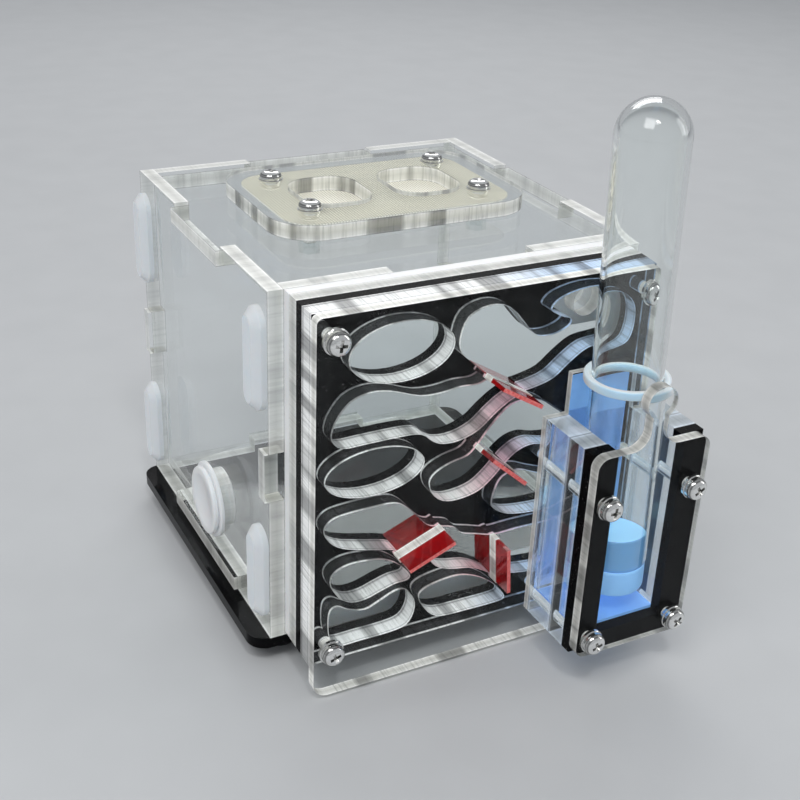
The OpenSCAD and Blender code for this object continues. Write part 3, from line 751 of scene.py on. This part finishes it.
def port_plug():
    """Plug with a dished outer flange, a groove, an inner flange and a body in the port."""
    low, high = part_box("port_plug")
    centre = (low + high) / 2
    radius = (high.z - low.z) / 2
    length = high.x - low.x
    thick, body_r, chamfer = 2.5 * MM, 8.0 * MM, 0.6 * MM
    dish = [(0.0, 0.45 * MM), (6.4 * MM, 0.45 * MM), (7.2 * MM, 0.05 * MM), (7.6 * MM, 0.0)]
    outer = rounded(radius - 1.1 * MM, thick * 0.52, 0.4 * MM)[1:-1]
    groove = [(radius - 1.6 * MM, thick * 0.56)]
    inner = [
        (radius - 0.3 * MM, thick * 0.6), (radius, thick * 0.7), (radius, thick - 0.02 * MM)
    ]
    body = [
        (body_r, thick), (body_r, length - chamfer), (body_r - chamfer, length), (0.0, length)
    ]
    bm = bmesh.new()
    seat = Vector((low.x, centre.y, centre.z))
    lathe(bm, dish + outer + groove + inner + body, seat, X, 72)
    piece = new_piece("plug", bm, [PALE_SILICONE])
    sharpen(piece, 30)
    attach(piece, "plug_body")
    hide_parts("port_plug")


port_plug()

# ---- Water tube, ring and stopper ------------------------------------------

# The tube leans to the left about the middle of the ring's underside
TUBE_LEAN = math.radians(1.7)
TUBE_LENGTH, TUBE_WALL = 115.4 * MM, 1.2 * MM
# Place of the tube's mouth from the ring's underside, along the tube
MOUTH = -48.1 * MM
STOPPER_OUT, STOPPER_H = 7.2 * MM, 16.2 * MM
TUBE_STEPS, END_STEPS, LIP_STEPS = 96, 20, 8

ring_low, ring_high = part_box("tube_ring")
tube_low, tube_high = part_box("water_tube")
tube_outer = (tube_high.y - tube_low.y) / 2
tube_inner = tube_outer - TUBE_WALL
tube_axis = Vector((-math.sin(TUBE_LEAN), 0, math.cos(TUBE_LEAN)))
ring_seat = Vector(((ring_low.x + ring_high.x) / 2, (ring_low.y + ring_high.y) / 2, ring_low.z))


def water_tube():
    """Glass tube with a fire-polished mouth and a round end."""
    straight, lip = TUBE_LENGTH - tube_outer, TUBE_WALL / 2
    profile = []
    for step in range(LIP_STEPS + 1):
        angle = math.pi * step / LIP_STEPS
        profile.append((tube_inner + lip - lip * math.cos(angle), lip - lip * math.sin(angle)))
    angles = [math.pi / 2 * step / END_STEPS for step in range(END_STEPS + 1)]
    for radius, order in ((tube_outer, angles), (tube_inner, angles[::-1])):
        profile += [(radius * math.cos(a), straight + radius * math.sin(a)) for a in order]
    # The two points at the end's middle lie on the axis
    profile = [(r if r > 1e-7 else 0.0, z) for r, z in profile]
    bm = bmesh.new()
    lathe(bm, profile, ring_seat + MOUTH * tube_axis, tube_axis, TUBE_STEPS)
    piece = new_piece("tube", bm, [GLASS])
    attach(piece, "feeder_tube")
    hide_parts("water_tube")


water_tube()


def tube_ring():
    """Silicone ring that carries the tube."""
    outer = (ring_high.x - ring_low.x) / 2
    inner = tube_outer + 0.05 * MM
    tall = ring_high.z - ring_low.z
    bevel, inner_bevel = 0.35 * MM, 0.35 * MM * 0.7
    profile = [(inner, inner_bevel), (inner + inner_bevel, 0.0)]
    profile += rounded(outer, tall, bevel)[1:-1]
    profile += [(inner + inner_bevel, tall), (inner, tall - inner_bevel)]
    bm = bmesh.new()
    lathe(bm, profile, ring_seat, Z, TUBE_STEPS)
    piece = new_piece("ring", bm, [SILICONE])
    sharpen(piece, 50)
    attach(piece, "feeder_tube")
    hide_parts("tube_ring")


tube_ring()


def tube_stopper():
    """Foot as wide as the tube under its mouth, a seam, and a drum inside the tube."""
    foot_r = tube_outer - 0.25 * MM
    # The glass magnifies what it holds, so the drum fills the bore
    drum_r = tube_inner - 0.03 * MM
    seam_r = drum_r - 0.5 * MM
    out = STOPPER_OUT
    foot = rounded(foot_r, out - 0.25 * MM, 0.7 * MM)[:-1]
    seam = [(seam_r, out - 0.15 * MM), (seam_r, out + 0.2 * MM), (drum_r, out + 0.3 * MM)]
    # Only the drum's upper rim and its top
    drum = rounded(drum_r, STOPPER_H, 0.8 * MM)[RIM_STEPS + 2:]
    base = ring_seat + (MOUTH - out) * tube_axis
    bm = bmesh.new()
    lathe(bm, foot + seam + drum, base, tube_axis, TUBE_STEPS)
    piece = new_piece("stopper", bm, [STOPPER_PAINTED_LIT_TOP, STOPPER_PAINTED_SHADE_SIDE, STOPPER_FOOT])
    for face in piece.data.polygons:
        height = (face.center - base).dot(tube_axis)
        if height <= out:
            face.material_index = 2
        # Faces that turn aside, and the band above the seam, get the painted shade
        elif height <= out * 1.5 or face.normal.dot(tube_axis) <= 0.6:
            face.material_index = 1
    sharpen(piece, 45)
    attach(piece, "feeder_tube")
    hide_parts("tube_stopper")


tube_stopper()

# ---- Gasket ----------------------------------------------------------------


def gasket():
    """White silicone frame behind the nest, with a ring around the entrance."""
    low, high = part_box("nest_gasket")
    ease = 0.04 * MM
    band, ring_r, hole_r = 6 * MM, 8 * MM, 4 * MM
    screw_r, side, end = 1.6 * MM, 4.3 * MM, 5.5 * MM
    entrance = (low.x + 77 * MM, low.z + 81 * MM)
    outline = [
        (low.x + ease, low.z + ease), (high.x - ease, low.z + ease),
        (high.x - ease, high.z - ease), (low.x + ease, high.z - ease),
    ]
    left, right, floor_z, top = low.x + band, high.x - band, low.z + band, high.z - band
    # The opening's right upper part is taken by the ring and the bridge that carries it
    reach = math.degrees(math.asin((top - entrance[1]) / ring_r))
    opening = [(left, floor_z), (right, floor_z), (right, entrance[1] - ring_r)]
    opening += arc(entrance, ring_r, 270, 180 - reach, 20)
    opening += [(left, top)]
    holes = [opening, arc(entrance, hole_r, 0, 345, 23)]
    for x, z in (
        (low.x + side, low.z + end), (low.x + side, high.z - end),
        (high.x - side, high.z - end),
    ):
        holes.append(arc((x, z), screw_r, 0, 337.5, 15))
    bm = bmesh.new()
    outline_slab(bm, outline, holes, low.y + ease, high.y - ease)
    piece = new_piece("gasket", bm, [GASKET], smooth=False)
    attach(piece, "habitat")
    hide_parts("nest_gasket")


gasket()

# ---- Screws ----------------------------------------------------------------

HEAD_R, SHANK_R = 2.9 * MM, 1.5 * MM
HEAD_H, WASHER = 2.4 * MM, 1.0 * MM
LOW_HEAD_H, THIN_WASHER = 2.1 * MM, 0.35 * MM
PITCH, THREAD_DEPTH = 0.5 * MM, 0.26 * MM
# The cross recess from above the head to its floor: height, half length and half width in mm
CROSS_LAYERS = ((0.3, 1.6, 0.42), (-1.25, 0.75, 0.3))
BOX_FACES = ((0, 1, 2, 3), (4, 5, 6, 7), (0, 1, 5, 4), (1, 2, 6, 5), (2, 3, 7, 6), (3, 0, 4, 7))
# Turn of the first screw's recess, and from each screw to the next
FIRST_TURN, NEXT_TURN = 0.35, 1.1


def screw(bm, seat, inwards, length, washer_r, head_h, washer):
    """Washer, domed head and threaded shank; the shank's faces get the second material."""
    out = -inwards
    rim, hole_r = 0.14 * washer, SHANK_R + 0.1 * MM
    ring = [
        (hole_r, 0), (washer_r - rim, 0), (washer_r, rim), (washer_r, washer - rim),
        (washer_r - rim, washer), (hole_r, washer),
    ]
    lathe(bm, ring, seat, out, 40)
    head = [(0.0, 0.0), (HEAD_R - 0.15 * MM, 0.0), (HEAD_R, 0.15 * MM)]
    for step in range(9):
        angle = math.pi / 2 * step / 8
        head.append(
            (HEAD_R * (0.42 + 0.58 * math.cos(angle)), head_h * (0.3 + 0.7 * math.sin(angle)))
        )
    head.append((0.0, head_h))
    lathe(bm, head, seat + out * washer, out, 40)
    thread = [(0.0, 0.0)]
    turns = int(length / PITCH) - 1
    for turn in range(turns):
        thread.append((SHANK_R, turn * PITCH + 0.1 * MM))
        thread.append((SHANK_R - THREAD_DEPTH, turn * PITCH + 0.35 * MM))
    thread += [(SHANK_R * 0.8, turns * PITCH), (0.0, length)]
    head_faces = len(bm.faces)
    lathe(bm, thread, seat, inwards, 24)
    for face in list(bm.faces)[head_faces:]:
        face.material_index = 1


def recess(bm, seat, inwards, turn, tall):
    """Cross-shaped cutter for a screw head whose top is tall above its seat."""
    out = -inwards
    side = Matrix.Rotation(turn, 3, out) @ X
    up = out.cross(side)
    top = seat + out * tall
    for along, across in ((side, up), (up, side)):
        corners = []
        for height, reach, wide in CROSS_LAYERS:
            for a, b in ((-1, -1), (1, -1), (1, 1), (-1, 1)):
                place = top + out * height * MM + along * a * reach * MM
                corners.append(bm.verts.new(place + across * b * wide * MM))
        for face in BOX_FACES:
            bm.faces.new([corners[i] for i in face])


def cut_away(piece, cutter_bm, name):
    """Applies a boolean difference and removes its cutter."""
    cutter = new_piece(name, cutter_bm, [piece.data.materials[0]], smooth=False)
    tool = piece.modifiers.new("recess", "BOOLEAN")
    tool.object = cutter
    tool.solver = "EXACT"
    tool.use_self = True
    bpy.context.view_layer.update()
    depsgraph = bpy.context.evaluated_depsgraph_get()
    done = bpy.data.meshes.new_from_object(piece.evaluated_get(depsgraph))
    piece.modifiers.clear()
    piece.data = done
    bpy.data.objects.remove(cutter)


def screws(name, node, seats, inwards, length, washer_r, head_h=HEAD_H, washer=WASHER):
    """One piece with a screw on each seat."""
    bm, cutter = bmesh.new(), bmesh.new()
    for index, seat in enumerate(seats):
        screw(bm, seat, inwards, length, washer_r, head_h, washer)
        turn = FIRST_TURN + NEXT_TURN * index
        recess(cutter, seat, inwards, turn, washer + head_h)
    piece = new_piece(name, bm, [STEEL_Z if abs(inwards.z) > 0.5 else STEEL_Y, THREAD_PAINTED_EMISSION])
    cut_away(piece, cutter, name + "_cutter")
    sharpen(piece, 38)
    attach(piece, "habitat")
    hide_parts(node)


def corner_seats(node, level, axis, washer_r):
    """Seats of the screws at the corners of a node's box, on the plane at level."""
    low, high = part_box(node)
    one, other = [i for i in range(3) if i != axis]
    seats = []
    for a in (low[one] + washer_r, high[one] - washer_r):
        for b in (low[other] + washer_r, high[other] - washer_r):
            seat = Vector((0, 0, 0))
            seat[one], seat[other], seat[axis] = a, b, level
            seats.append(seat)
    return seats


NEST_WASHER_R, FEEDER_WASHER_R, VENT_WASHER_R = 3.2 * MM, 3.1 * MM, 3.2 * MM
# How far the vent's screws come out under the top panel
VENT_SCREW_OUT = 0.8 * MM
cover_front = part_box("nest_cover")[0].y
feeder_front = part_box("feeder_front_plate")[0].y
vent_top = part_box("vent_plate")[1].z
nest_seats = corner_seats("nest_screws", cover_front, AT_Y, NEST_WASHER_R)
# The nest's lower right corner is held by a screw of the feeder
del nest_seats[2]
screws(
    "nest_screw_set", "nest_screws", nest_seats,
    Y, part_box("nest_screws")[1].y - cover_front, NEST_WASHER_R,
)
screws(
    "feeder_screw_set", "feeder_screws",
    corner_seats("feeder_screws", feeder_front, AT_Y, FEEDER_WASHER_R),
    Y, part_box("feeder_screws")[1].y - feeder_front, FEEDER_WASHER_R,
)
screws(
    "vent_screw_set", "vent_screws",
    corner_seats("vent_screws", vent_top, AT_Z, VENT_WASHER_R),
    -Z, vent_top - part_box("top_panel")[0].z + VENT_SCREW_OUT, VENT_WASHER_R,
    LOW_HEAD_H, THIN_WASHER,
)

# ---- Camera, floor and light -----------------------------------------------

FOCAL_PX, FRAME_PX, SENSOR = 1266.0, 800.0, 36.0
YAW, PITCH_DOWN, ROLL = math.radians(28.25), math.radians(27.2), math.radians(2.48)
CAMERA_AT = Vector((-144.35, -263.8, 208.1)) * MM

flat = math.cos(PITCH_DOWN)
forward = Vector((math.sin(YAW) * flat, math.cos(YAW) * flat, -math.sin(PITCH_DOWN)))
level_right = Vector((math.cos(YAW), -math.sin(YAW), 0))
level_up = level_right.cross(forward)
right = math.cos(ROLL) * level_right + math.sin(ROLL) * level_up
up = -math.sin(ROLL) * level_right + math.cos(ROLL) * level_up
lens = bpy.data.cameras.new("camera")
lens.sensor_width = SENSOR
lens.lens = FOCAL_PX / FRAME_PX * SENSOR
lens.clip_start = 0.01
camera = bpy.data.objects.new("camera", lens)
turn = Matrix((right, up, -forward)).transposed()
camera.matrix_world = Matrix.Translation(CAMERA_AT) @ turn.to_4x4()
bpy.context.scene.collection.objects.link(camera)
bpy.context.scene.camera = camera

FLOOR_HALF, FLOOR_DROP = 3.0, 0.05 * MM


def pale_floor(tree):
    speckle = noise(tree, 40.0, 2.0)
    tone = ramp(tree, speckle, (0.3, (0.55, 0.56, 0.57)), (0.7, (0.57, 0.58, 0.59)))
    return add(tree, "BsdfPrincipled", {"Base Color": tone, "Roughness": 0.7}).outputs[0]


bm = bmesh.new()
bmesh.ops.create_grid(bm, x_segments=1, y_segments=1, size=FLOOR_HALF)
floor = new_piece("floor", bm, [material("pale_floor", pale_floor)], smooth=False)
floor.location.z = -FLOOR_DROP

# Name, place, target, size and watts
LIGHTS = (
    ("key", (-0.5, -0.35, 0.85), (0, 0, 0.07), (0.5, 0.5), 3.2),
    ("back", (0.35, 0.75, 0.7), (0, 0, 0.09), (0.7, 0.35), 2.4),
    ("side", (0.85, -0.35, 0.45), (0, 0, 0.07), (0.3, 0.6), 1.2),
    ("spark", (-0.15, -0.45, 0.75), (0, 0, 0.1), (0.1, 0.1), 1.2),
)
for name, place, target, size, power in LIGHTS:
    lamp = bpy.data.lights.new(name, "AREA")
    lamp.shape = "RECTANGLE"
    lamp.size, lamp.size_y = size
    lamp.energy = power
    made = bpy.data.objects.new(name, lamp)
    made.location = place
    aim = Vector(target) - Vector(place)
    made.rotation_euler = aim.to_track_quat("-Z", "Y").to_euler()
    bpy.context.scene.collection.objects.link(made)

world = bpy.data.worlds.new("studio")
world.use_nodes = True
background = world.node_tree.nodes["Background"]
background.inputs["Color"].default_value = (0.93, 0.96, 1.0, 1)
background.inputs["Strength"].default_value = 0.45
scene = bpy.context.scene
scene.world = world
scene.view_settings.view_transform = "Standard"
# Light crosses many clear layers before it reaches the camera
scene.cycles.max_bounces = 24
scene.cycles.transmission_bounces = 16
scene.cycles.transparent_max_bounces = 64
